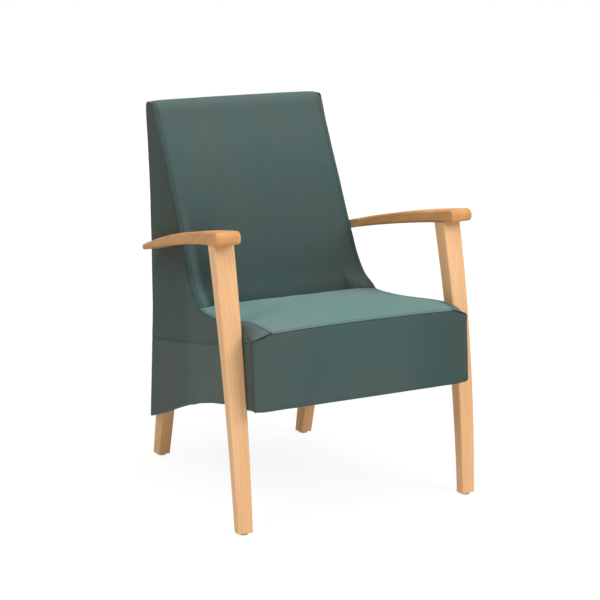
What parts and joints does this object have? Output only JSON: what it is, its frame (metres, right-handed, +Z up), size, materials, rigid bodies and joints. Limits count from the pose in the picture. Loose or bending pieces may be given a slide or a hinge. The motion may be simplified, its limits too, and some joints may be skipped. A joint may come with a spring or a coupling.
{
  "type": "low-back upholstered armchair",
  "caption": "Low-back armchair with an upholstered seat and reclined wedge back, raked tapered wooden legs and sloping wooden arms carried by the front legs.",
  "frame": {"origin": "on the floor, under the middle of the chair's outline", "axes": "+Z up, +Y from the seat front to the back, +X to the right of someone facing the chair"},
  "size_m": [0.6434, 0.654, 0.876],
  "materials": {
    "beech": "satin",
    "frame_wood": "raw",
    "cover": "woven",
    "foam": "matte",
    "webbing": "woven",
    "under_cloth": "matte",
    "steel": "zinc",
    "glide": "matte"
  },
  "bodies": {
    "root": {"front_leg_left": "beech", "front_leg_right": "beech", "leg_bolt_plugs": "beech", "front_leg_bolts": "steel", "front_leg_inserts": "steel", "arm_dowels": "beech", "rear_leg_left": "beech", "rear_leg_right": "beech", "rear_leg_bolts": "steel", "rear_leg_inserts": "steel", "floor_glides": "glide", "glide_nails": "steel", "armrest_left": "beech", "armrest_right": "beech", "arm_bolts": "steel", "arm_inserts": "steel", "upper_side_cover_left": "cover", "upper_side_cover_right": "cover", "lower_side_cover_left": "cover", "lower_side_cover_right": "cover", "front_band_cover": "cover", "front_pad": "foam", "seat_front_board": "frame_wood", "seat_side_board_left": "frame_wood", "seat_side_board_right": "frame_wood", "back_side_board_left": "frame_wood", "back_side_board_right": "frame_wood", "seat_top_cover": "cover", "seat_foam": "foam", "seat_side_batten_left": "frame_wood", "seat_side_batten_right": "frame_wood", "seat_front_batten": "frame_wood", "seat_rear_rail": "frame_wood", "corner_blocks": "frame_wood", "joint_blocks": "frame_wood", "seat_webbing_long": "webbing", "seat_webbing_cross": "webbing", "inside_back_cover": "cover", "back_foam": "foam", "outside_back_cover": "cover", "back_top_rail": "frame_wood", "back_stile_left": "frame_wood", "back_stile_right": "frame_wood", "lumbar_rail": "frame_wood", "back_webbing": "webbing", "underside_cloth": "under_cloth", "rear_hem_batten": "frame_wood"}
  },
  "joints": []
}
